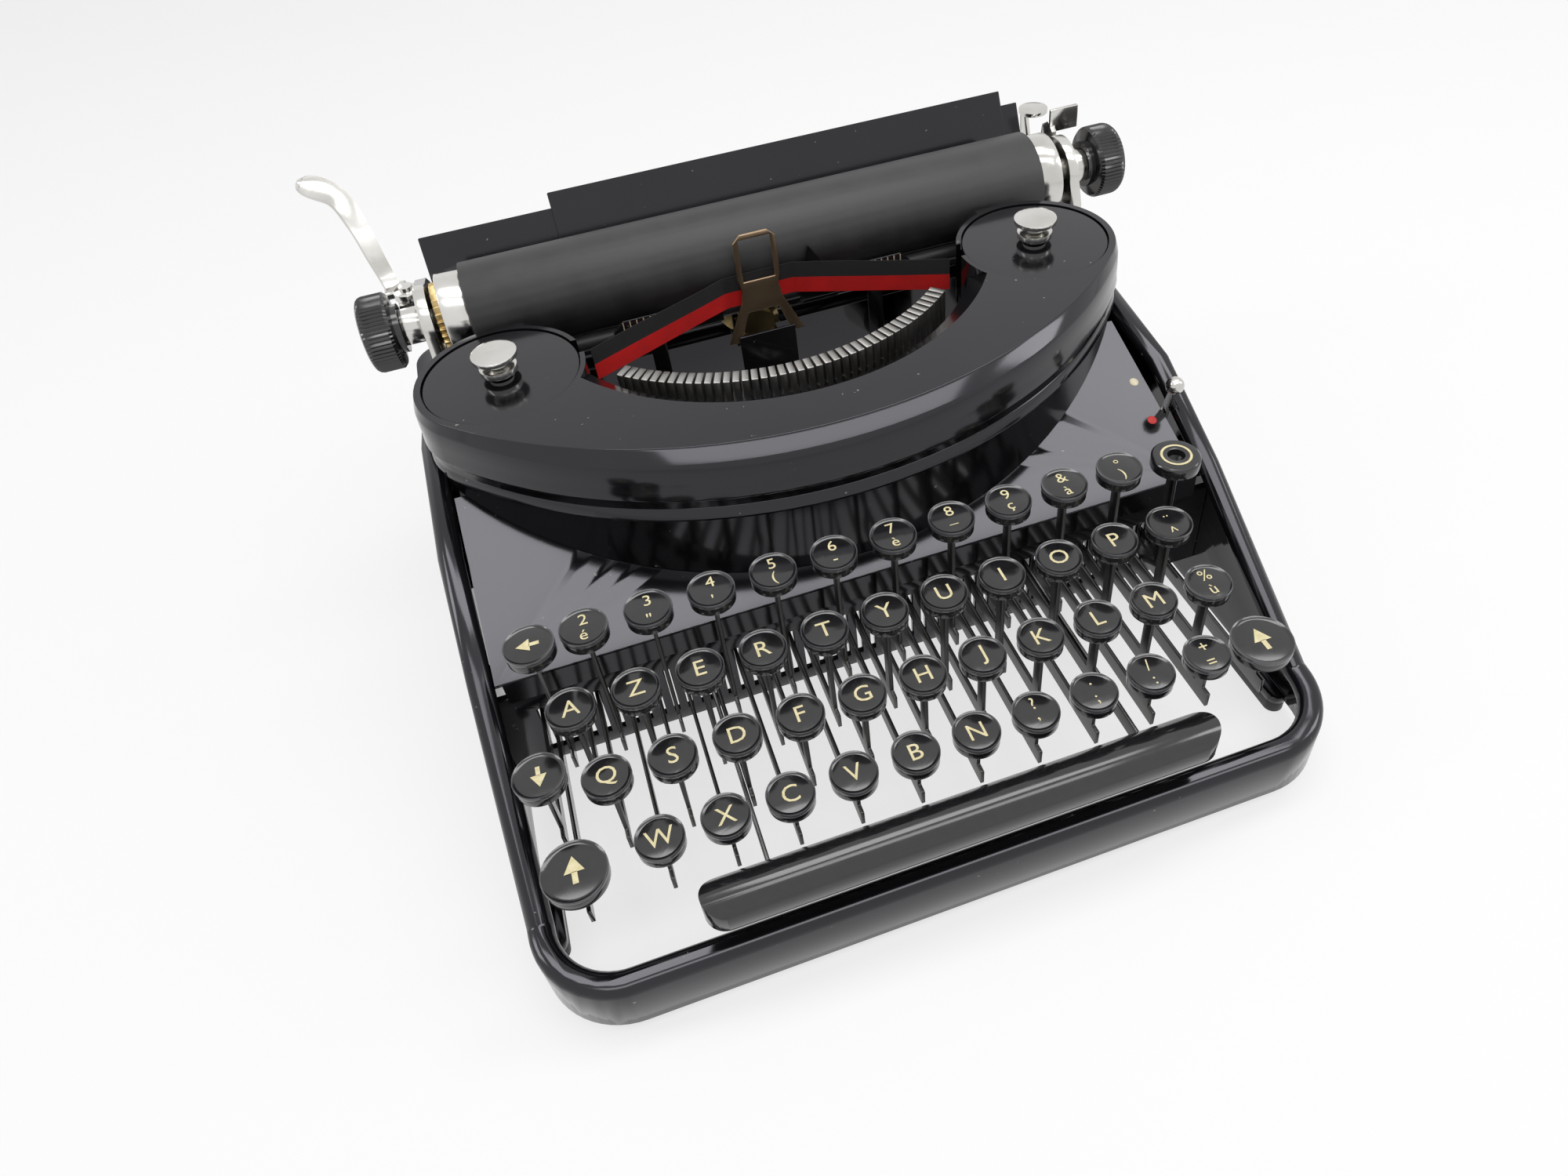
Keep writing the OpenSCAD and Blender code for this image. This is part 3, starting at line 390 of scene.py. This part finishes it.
def finish_table():
    """Makes every finish once and keeps it by name."""
    if FINISHES:
        return FINISHES
    looks = bpy.context.scene.typewriter_finish
    keys = bpy.context.scene.typewriter_keys
    black = tuple(looks.enamel_colour)
    FINISHES.update(
        black_enamel=enamel("black_enamel", black, 0.735),
        black_steel=enamel("black_steel", (0.010, 0.010, 0.011, 1), 0.72),
        dark_rubber=rubber("dark_rubber", (0.017, 0.017, 0.018, 1)),
        chrome=plated("chrome", tuple(looks.chrome_colour), 0.10),
        steel=plated("steel", tuple(looks.steel_colour), 0.34),
        key_black=lacquer("key_black", (0.009, 0.009, 0.010, 1)),
        brass=plated("brass", (0.56, 0.42, 0.20, 1), 0.28),
        tan_steel=plated("tan_steel", (0.36, 0.26, 0.17, 1), 0.36),
        # The key's ring is the same black lacquer, painted a paler grey as a painted highlight along its
        # edge
        key_edge=lacquer("key_edge", (0.06, 0.06, 0.065, 1)),
        legend=painted_mark("legend", tuple(keys.legend_colour)),
        red_dot=painted_mark("red_dot", (0.6, 0.03, 0.03, 1)),
        cream_dot=painted_mark("cream_dot", (0.80, 0.74, 0.55, 1)),
        ribbon_red=inked_cloth("ribbon_red", tuple(looks.ribbon_red)),
        inked_ribbon=inked_cloth("inked_ribbon", (0.012, 0.011, 0.012, 1)),
        dark_levers=plated("dark_levers", (0.12, 0.12, 0.12, 1), 0.36),
    )
    return FINISHES


def fresh():
    """Leaves nothing selected, so an operator acts only on what comes next."""
    if bpy.context.object and bpy.context.object.mode != "OBJECT":
        bpy.ops.object.mode_set(mode="OBJECT")
    bpy.ops.object.select_all(action="DESELECT")


def join(parts, name):
    """One object from several, with its place in its mesh."""
    fresh()
    for part in parts:
        part.select_set(True)
    bpy.context.view_layer.objects.active = parts[0]
    if len(parts) > 1:
        bpy.ops.object.join()
    made = bpy.context.object
    bpy.ops.object.transform_apply(location=True, rotation=True, scale=True)
    made.name = name
    made.data.name = name
    return made


def dress(part, body, finish):
    """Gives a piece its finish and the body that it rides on."""
    part.data.materials.clear()
    part.data.materials.append(finish_table()[finish])
    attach(part, body)
    return part


def copy_to(part, place):
    """A copy of a piece at another place, with its own mesh."""
    twin = part.copy()
    twin.data = part.data.copy()
    twin.location = place
    bpy.context.collection.objects.link(twin)
    return twin


def key_blank(diameter):
    """A shallow round key face: a rolled ring round a dished black disc. The ring and sides are painted a
    paler grey than the disc, as a painted highlight along the edge.
    """
    looks = bpy.context.scene.typewriter_keys
    outer = diameter / 2 + KEY_PROUD
    fresh()
    bpy.ops.mesh.primitive_cylinder_add(vertices=KEY_SIDES, radius=outer, depth=KEY_THICK)
    made = bpy.context.object
    # Ring and sides take the paler grey painted highlight; the dish takes the plain black
    made.data.materials.append(finish_table()["key_edge"])
    made.data.materials.append(finish_table()["key_black"])
    bpy.ops.object.mode_set(mode="EDIT")
    bpy.ops.mesh.select_mode(type="FACE")
    bpy.ops.mesh.select_all(action="DESELECT")
    bpy.ops.object.mode_set(mode="OBJECT")
    top = [f for f in made.data.polygons if f.normal.z > 0.9][0]
    top.select = True
    bpy.ops.object.mode_set(mode="EDIT")
    bpy.ops.mesh.inset(thickness=looks.ring_width)
    bpy.ops.transform.translate(value=(0, 0, -RING_DROP))
    for width, drop in DISH_STEPS:
        bpy.ops.mesh.inset(thickness=diameter * width)
        bpy.ops.transform.translate(value=(0, 0, -drop))
    bpy.ops.object.mode_set(mode="OBJECT")
    inner = outer - looks.ring_width - 0.00002
    for face in made.data.polygons:
        in_dish = face.center.xy.length < inner * 0.97
        if face.normal.z > 0.7 and in_dish:
            face.material_index = 1
    bevel = made.modifiers.new("rolled", "BEVEL")
    bevel.width = RING_ROLL
    bevel.segments = 2
    bevel.limit_method = "ANGLE"
    bevel.angle_limit = math.radians(40)
    bpy.ops.object.modifier_apply(modifier=bevel.name)
    bpy.ops.object.shade_smooth_by_angle(angle=math.radians(32))
    return made


def sign(text, place, size):
    """One painted sign lying flat, centred on a place."""
    fresh()
    bpy.ops.object.text_add(location=(0, 0, 0))
    made = bpy.context.object
    made.data.body = text
    made.data.size = size
    made.data.extrude = LEGEND_THICK
    made.data.resolution_u = 3
    bpy.ops.object.convert(target="MESH")
    made = bpy.context.object
    middle = sum((Vector(c) for c in made.bound_box), Vector()) / 8
    made.data.transform(Matrix.Translation(place - middle))
    return made


def legend(text, place, height):
    """The letter of a key, or its upper and lower sign."""
    if len(text) == 1:
        return [sign(text, place, height)]
    rise = Vector((0.0003, height * 0.36, 0))
    upper = sign(text[0], place + rise, height * 0.74)
    lower = sign(text[1], place - rise * 1.05, height * 0.7)
    return [upper, lower]


def arrow(place, size, turn):
    """A generic arrow: a three-cornered head on a short shaft."""
    fresh()
    bpy.ops.mesh.primitive_cylinder_add(vertices=3, radius=size * 0.5, depth=ARROW_THICK)
    head = bpy.context.object
    head.data.transform(Matrix.Translation((0, size * 0.2, 0)))
    fresh()
    bpy.ops.mesh.primitive_cube_add(size=1)
    shaft = bpy.context.object
    shape = Matrix.Diagonal((size * 0.24, size * 0.55, ARROW_THICK, 1))
    shaft.data.transform(Matrix.Translation((0, -size * 0.3, 0)) @ shape)
    both = join([head, shaft], "arrow")
    both.data.transform(Matrix.Translation(place) @ Matrix.Rotation(turn, 4, "Z"))
    return both


class SolidFinishes(bpy.types.Operator):
    """Gives every CAD solid its finish, rounds its edges and smooths its curves"""

    bl_idname = "typewriter.solid_finishes"
    bl_label = "Finishes on the solids"

    def execute(self, context):
        finishes = finish_table()
        slots = {s["node"]: s["material_slot"] for s in frame["record"]["subparts"]}
        dark = ("key_levers", "space_bar_arms", "type_segment", "ribbon_spool")
        for name, solid in frame["nodes"].items():
            finish = "dark_levers" if name.startswith(dark) else slots[name]
            solid.data.materials.clear()
            solid.data.materials.append(finishes[finish])
            for face in solid.data.polygons:
                face.use_smooth = True
            weld = solid.modifiers.new("weld", "WELD")
            weld.merge_threshold = 0.00001
            if name == "base_frame":
                self.roll_rim(solid)
            self.soften(solid, ENAMEL_SOFTNESS if finish == "black_enamel" else EDGE_SOFTNESS)
            if finish == "black_enamel" and name != "base_frame":
                even = solid.modifiers.new("even", "WEIGHTED_NORMAL")
                even.weight = 80
                even.keep_sharp = True
        return {"FINISHED"}

    def soften(self, solid, width):
        """Rounds every sharp edge a little, as paint or polish does."""
        edge = solid.modifiers.new("edge", "BEVEL")
        edge.width = width
        edge.segments = 2
        edge.limit_method = "ANGLE"
        edge.angle_limit = math.radians(35)
        edge.use_clamp_overlap = True
        edge.harden_normals = True

    def roll_rim(self, solid):
        """Rolls the long edges along the top of the frame's wall, and no others."""
        mesh = solid.data
        weight = mesh.attributes.new("bevel_weight_edge", "FLOAT", "EDGE")
        for edge in mesh.edges:
            ends = [mesh.vertices[i].co for i in edge.vertices]
            depth = [p.y + FRONT_TO_ORIGIN for p in ends]
            above = [p.z - FOOT_HEIGHT - rim_height(y) for p, y in zip(ends, depth)]
            on_rim = all(abs(height) < RIM_FIT for height in above)
            across = abs(depth[0] - depth[1]) < 0.00001 and depth[0] > RIM_CROSSBAR
            rolled = on_rim and not across and max(depth) < RIM_ROLL_END
            weight.data[edge.index].value = 1.0 if rolled else 0.0
        flat = solid.modifiers.new("flat", "DECIMATE")
        flat.decimate_type = "DISSOLVE"
        flat.angle_limit = math.radians(0.5)
        roll = solid.modifiers.new("roll", "BEVEL")
        roll.width = RIM_ROLL
        roll.segments = 4
        roll.limit_method = "WEIGHT"
        roll.use_clamp_overlap = False
        roll.harden_normals = True


class KeyFaces(bpy.types.Operator):
    """Builds ringed key faces with their letters on the four rows and the special keys"""

    bl_idname = "typewriter.key_faces"
    bl_label = "Key faces"

    def execute(self, context):
        looks = context.scene.typewriter_keys
        blank = key_blank(looks.key_diameter)
        for row, y, z, lever, letters in KEY_ROWS:
            faces, marks = [], []
            for k, text in enumerate(letters):
                x = FIRST_LEVER + (lever + 4 * k) * LEVER_STEP
                place = in_frame(x, y, z)
                faces.append(copy_to(blank, place + FACE_DROP))
                marks += legend(text, place + LEGEND_LIFT, looks.legend_height)
            face = join(faces, "key_faces_row_" + row)
            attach(face, "key_row_" + row)
            dress(join(marks, "key_letters_row_" + row), "key_row_" + row, "legend")
        bpy.data.objects.remove(blank)
        self.release_ring()
        for body, at, diameter, mark in SPECIAL_KEYS:
            place = in_frame(*at)
            face = key_blank(diameter)
            face.location = place + FACE_DROP
            face = join([face], body + "_face")
            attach(face, body)
            pointer = arrow(place + ARROW_LIFT, diameter * ARROW_SHARE, ARROW_TURNS[mark])
            pointer.name = body + "_arrow"
            dress(pointer, body, "legend")
        return {"FINISHED"}

    def release_ring(self):
        """A painted ring round the hole of the margin release key."""
        fresh()
        bpy.ops.mesh.primitive_torus_add(
            major_segments=48, minor_segments=8,
            major_radius=RELEASE_RING_RADIUS, minor_radius=RELEASE_RING_LINE,
            location=in_frame(*RELEASE_KEY),
        )
        ring = bpy.context.object
        ring.data.transform(Matrix.Diagonal((1, 1, 0.3, 1)))
        dress(join([ring], "margin_release_ring"), "margin_release", "legend")


class RibbonTape(bpy.types.Operator):
    """Lays the inked cloth ribbon from the left spool through the vibrator to the right spool"""

    bl_idname = "typewriter.ribbon_tape"
    bl_label = "Ribbon"

    def execute(self, context):
        fresh()
        spans = list(zip(RIBBON_TURNS, RIBBON_TURNS[1:]))
        total = sum((b - a).length for a, b in spans)
        bpy.ops.mesh.primitive_grid_add(x_subdivisions=96, y_subdivisions=8, size=1)
        tape = bpy.context.object
        tape.name = "ribbon_tape"
        for half in ("ribbon_red", "inked_ribbon"):
            tape.data.materials.append(finish_table()[half])
        for face in tape.data.polygons:
            face.material_index = 1 if face.center.y > 0 else 0
        for v in tape.data.vertices:
            reach = (v.co.x + 0.5) * total
            at = self.place_along(spans, reach)
            if abs(at.x) >= RIBBON_FLAT_HALF:
                at.y += RIBBON_RIPPLE * math.sin(reach * 90.0) * (v.co.y + 0.3)
            v.co = in_frame(at.x, at.y, RIBBON_BOTTOM + (v.co.y + 0.5) * RIBBON_WIDTH)
        thick = tape.modifiers.new("thick", "SOLIDIFY")
        thick.thickness = RIBBON_THICK
        thick.offset = 0
        bpy.ops.object.modifier_apply(modifier=thick.name)
        bpy.ops.object.shade_smooth_by_angle(angle=math.radians(40))
        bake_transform(tape)
        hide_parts("ribbon")
        return {"FINISHED"}

    def place_along(self, spans, reach):
        """The point, seen from above, at a distance along the ribbon."""
        for a, b in spans:
            length = (b - a).length
            if reach <= length + 1e-9:
                break
            reach -= length
        return a + (b - a) * (reach / length)


def along(points, t):
    """A point on a smooth line through the given points, t from 0 to 1."""
    span = min(int(t * (len(points) - 1)), len(points) - 2)
    u = t * (len(points) - 1) - span
    p0, p1, p2, p3 = (points[min(max(span + k, 0), len(points) - 1)] for k in (-1, 0, 1, 2))
    bend = 2 * p1 + (p2 - p0) * u
    bend += (2 * p0 - 5 * p1 + 4 * p2 - p3) * u ** 2
    bend += (3 * p1 - p0 - 3 * p2 + p3) * u ** 3
    return bend / 2


class ReturnLever(bpy.types.Operator):
    """Shapes the line-space lever as one bent, dished blade on its eye"""

    bl_idname = "typewriter.return_lever"
    bl_label = "Return lever"

    def execute(self, context):
        pin = in_frame(*LEVER_PIN)
        turned = Matrix.Rotation(LEVER_TURN, 3, "Z") @ Matrix.Rotation(LEVER_LEAN, 3, "X")
        face = turned @ Vector((0, 0, 1))
        line = [pin + Vector(p) / 1000 for p in LEVER_LINE]
        fresh()
        bpy.ops.mesh.primitive_grid_add(x_subdivisions=64, y_subdivisions=10, size=1)
        blade = bpy.context.object
        for v in blade.data.vertices:
            t, across = v.co.x + 0.5, 2 * v.co.y
            way = (along(line, min(t + 0.01, 1)) - along(line, max(t - 0.01, 0))).normalized()
            side = face.cross(way).normalized()
            half = BLADE_HALF_WIDTH + BLADE_FLARE * t ** 2
            tip = max(0.0, (t - BLADE_TIP_START) / (1 - BLADE_TIP_START))
            half *= math.sqrt(max(0.0, 1 - tip ** 2)) * 0.96 + 0.04
            hollow = max(0.0, (t - BLADE_DISH_START) / (1 - BLADE_DISH_START))
            dish = BLADE_DISH * (1 - across ** 2) * hollow
            v.co = along(line, t) + side * half * across - face * dish
        thick = blade.modifiers.new("thick", "SOLIDIFY")
        thick.thickness = BLADE_THICK
        thick.offset = 0
        bpy.ops.object.modifier_apply(modifier=thick.name)
        fresh()
        middle = pin + Vector((0, 0, EYE_HEIGHT / 2))
        bpy.ops.mesh.primitive_cylinder_add(
            vertices=48, radius=EYE_RADIUS, depth=EYE_HEIGHT, location=middle
        )
        eye = bpy.context.object
        bpy.ops.object.mode_set(mode="EDIT")
        bpy.ops.mesh.select_all(action="SELECT")
        bpy.ops.mesh.bevel(offset=0.0004, segments=2, affect="EDGES")
        bpy.ops.object.mode_set(mode="OBJECT")
        arm = box_between(pin + Vector((-EYE_ARM, 0, 0)), pin + Vector((0, EYE_ARM, EYE_HEIGHT)))
        lever = join([blade, eye, arm], "return_lever_blade")
        bpy.ops.object.shade_smooth_by_angle(angle=math.radians(40))
        dress(lever, "line_lever", "chrome")
        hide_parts("return_lever")
        return {"FINISHED"}


def box_between(low, high):
    """A small block with softened edges between two corners."""
    fresh()
    bpy.ops.mesh.primitive_cube_add(size=1)
    made = bpy.context.object
    size = high - low
    made.data.transform(Matrix.Translation((low + high) / 2) @ Matrix.Diagonal((*size, 1)))
    bpy.ops.object.mode_set(mode="EDIT")
    bpy.ops.mesh.select_all(action="SELECT")
    bpy.ops.mesh.bevel(offset=min(size) * 0.2, segments=1, affect="EDGES")
    bpy.ops.object.mode_set(mode="OBJECT")
    return made


class PlatenKnobs(bpy.types.Operator):
    """Turns the two platen knobs, with fine ridges cut round their rims"""

    bl_idname = "typewriter.platen_knobs"
    bl_label = "Platen knobs"

    def execute(self, context):
        rings = len(KNOB_OUTLINE) - 1
        steps = 4 * KNURL_RIDGES
        for name, side, inner_end in KNOB_INNER_ENDS:
            fresh()
            bpy.ops.mesh.primitive_grid_add(x_subdivisions=rings, y_subdivisions=steps, size=1)
            knob = bpy.context.object
            knob.name = "platen_knob_" + name + "_ridged"
            for v in knob.data.vertices:
                radius, out = KNOB_OUTLINE[round((v.co.x + 0.5) * rings)]
                turn = 2 * math.pi * round((v.co.y + 0.5) * steps) / steps
                if radius > KNURL_FROM:
                    radius -= KNURL_DEPTH * (1 - math.cos(KNURL_RIDGES * turn)) / 2
                around = Vector((math.cos(turn), math.sin(turn))) * radius
                y, z = Vector(PLATEN_AXIS) + around
                v.co = in_frame(inner_end + side * out, y, z)
            bpy.ops.object.mode_set(mode="EDIT")
            bpy.ops.mesh.select_all(action="SELECT")
            bpy.ops.mesh.remove_doubles(threshold=0.000001)
            bpy.ops.mesh.normals_make_consistent(inside=False)
            bpy.ops.object.mode_set(mode="OBJECT")
            bpy.ops.object.shade_smooth_by_angle(angle=math.radians(30))
            dress(knob, "platen_unit", "key_black")
            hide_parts("platen_knob_" + name)
        return {"FINISHED"}


class SmallMarks(bpy.types.Operator):
    """Adds the line scale's ticks and the two dots by the colour selector"""

    bl_idname = "typewriter.small_marks"
    bl_label = "Ticks and dots"

    def execute(self, context):
        ticks = []
        front, back = TICK_DEPTHS
        for start, count in SCALE_RUNS:
            for i in range(count):
                x = start + i * TICK_STEP
                tall = TICK_LONG if i % 5 == 0 else TICK_SHORT
                low = in_frame(x - TICK_HALF_WIDTH, front, TICK_TOP - tall)
                high = in_frame(x + TICK_HALF_WIDTH, back, TICK_TOP)
                ticks.append(box_between(low, high))
        dress(join(ticks, "scale_ticks"), "frame", "cream_dot")
        for name, x, y in SELECTOR_DOTS:
            fresh()
            bpy.ops.mesh.primitive_uv_sphere_add(segments=24, ring_count=12, radius=DOT_RADIUS)
            dot = bpy.context.object
            lift = PANEL_FOOT[1] + (y - PANEL_FOOT[0]) * math.tan(PANEL_SLOPE)
            lying = Matrix.Rotation(PANEL_SLOPE, 4, "X") @ Matrix.Diagonal((1, 1, DOT_FLATNESS, 1))
            dot.data.transform(Matrix.Translation(in_frame(x, y, lift)) @ lying)
            bpy.ops.object.shade_smooth()
            dot.name = name
            dress(dot, "frame", name)
        return {"FINISHED"}


def seen_rays(tree, path):
    """One for a ray that shows the background: straight, mirrored or through glass."""
    total = path.outputs["Is Camera Ray"]
    for kind in ("Is Glossy Ray", "Is Transmission Ray"):
        either = tree.nodes.new("ShaderNodeMath")
        either.operation = "MAXIMUM"
        tree.links.new(total, either.inputs[0])
        tree.links.new(path.outputs[kind], either.inputs[1])
        total = either.outputs["Value"]
    return total


class Studio(bpy.types.Operator):
    """Sets the floor, soft lights, white surroundings and the camera"""

    bl_idname = "typewriter.studio"
    bl_label = "Studio"

    def execute(self, context):
        looks = context.scene.typewriter_stage
        fresh()
        bpy.ops.mesh.primitive_plane_add(size=looks.floor_size)
        floor = bpy.context.object
        floor.name = "floor"
        s = Shader("pale_floor")
        s.set("Base Color", (0.86, 0.86, 0.86, 1))
        s.set("Roughness", 0.9)
        glow = s.add("ShaderNodeEmission")
        glow.inputs["Strength"].default_value = 1.0
        path = s.add("ShaderNodeLightPath")
        seen = s.add("ShaderNodeMath", operation="MULTIPLY")
        seen.inputs[1].default_value = FLOOR_GLOW
        s.link(seen_rays(s.tree, path), seen.inputs[0])
        blend = s.add("ShaderNodeMixShader")
        s.link(seen.outputs["Value"], blend.inputs["Fac"])
        s.link(s.surface.outputs["BSDF"], blend.inputs[1])
        s.link(glow.outputs["Emission"], blend.inputs[2])
        s.link(blend.outputs["Shader"], s.tree.nodes["Material Output"].inputs["Surface"])
        floor.data.materials.append(s.material)
        self.surroundings(context)
        for lamp in LAMPS:
            self.lamp(*lamp)
        self.camera(context, looks)
        context.scene.view_settings.view_transform = "Standard"
        return {"FINISHED"}

    def surroundings(self, context):
        """White all round to the eye, but only a soft fill on the machine."""
        world = bpy.data.worlds.new("studio_white")
        context.scene.world = world
        world.use_nodes = True
        tree = world.node_tree
        ground = tree.nodes["Background"]
        path = tree.nodes.new("ShaderNodeLightPath")
        level = tree.nodes.new("ShaderNodeMapRange")
        level.inputs["To Min"].default_value = WORLD_FILL
        level.inputs["To Max"].default_value = 1.0
        tree.links.new(seen_rays(tree, path), level.inputs["Value"])
        ground.inputs["Color"].default_value = (1, 1, 1, 1)
        tree.links.new(level.outputs["Result"], ground.inputs["Strength"])

    def lamp(self, name, place, size, watts, turned):
        """One soft lamp, hanging level or turned to the machine."""
        fresh()
        bpy.ops.object.light_add(type="AREA", location=place)
        lamp = bpy.context.object
        lamp.name = name
        lamp.data.shape = "RECTANGLE"
        lamp.data.size, lamp.data.size_y = size
        lamp.data.energy = watts
        if turned:
            toward = LAMP_TARGET - Vector(place)
            lamp.rotation_euler = toward.to_track_quat("-Z", "Y").to_euler()

    def camera(self, context, looks):
        """The photographer's place, looking down from the front left."""
        fresh()
        bpy.ops.object.camera_add()
        eye = bpy.context.object
        turn = Matrix((CAMERA_RIGHT, CAMERA_UP, -CAMERA_FORWARD)).transposed()
        eye.matrix_world = Matrix.Translation(CAMERA_PLACE) @ turn.to_4x4()
        eye.data.sensor_width = 36
        eye.data.lens = looks.lens
        eye.data.shift_x, eye.data.shift_y = CAMERA_SHIFT
        eye.data.clip_start = 0.01
        context.scene.camera = eye


class TypewriterPanel(bpy.types.Panel):
    bl_idname = "VIEW3D_PT_typewriter"
    bl_label = "Typewriter"
    bl_space_type = "VIEW_3D"
    bl_region_type = "UI"
    bl_category = "Typewriter"

    def draw(self, context):
        for step in STEPS:
            self.layout.operator(step.bl_idname)


GROUPS = (
    (KeyLooks, "typewriter_keys"),
    (FinishLooks, "typewriter_finish"),
    (StageLooks, "typewriter_stage"),
)
STEPS = (SolidFinishes, KeyFaces, RibbonTape, ReturnLever, PlatenKnobs, SmallMarks, Studio)


def register():
    for group, name in GROUPS:
        bpy.utils.register_class(group)
        setattr(bpy.types.Scene, name, bpy.props.PointerProperty(type=group))
    for step in (*STEPS, TypewriterPanel):
        bpy.utils.register_class(step)


def unregister():
    for step in reversed((*STEPS, TypewriterPanel)):
        bpy.utils.unregister_class(step)
    for group, name in reversed(GROUPS):
        delattr(bpy.types.Scene, name)
        bpy.utils.unregister_class(group)


def main():
    register()
    bpy.ops.typewriter.solid_finishes()
    bpy.ops.typewriter.key_faces()
    bpy.ops.typewriter.ribbon_tape()
    bpy.ops.typewriter.return_lever()
    bpy.ops.typewriter.platen_knobs()
    bpy.ops.typewriter.small_marks()
    bpy.ops.typewriter.studio()


if __name__ == "__main__":
    main()
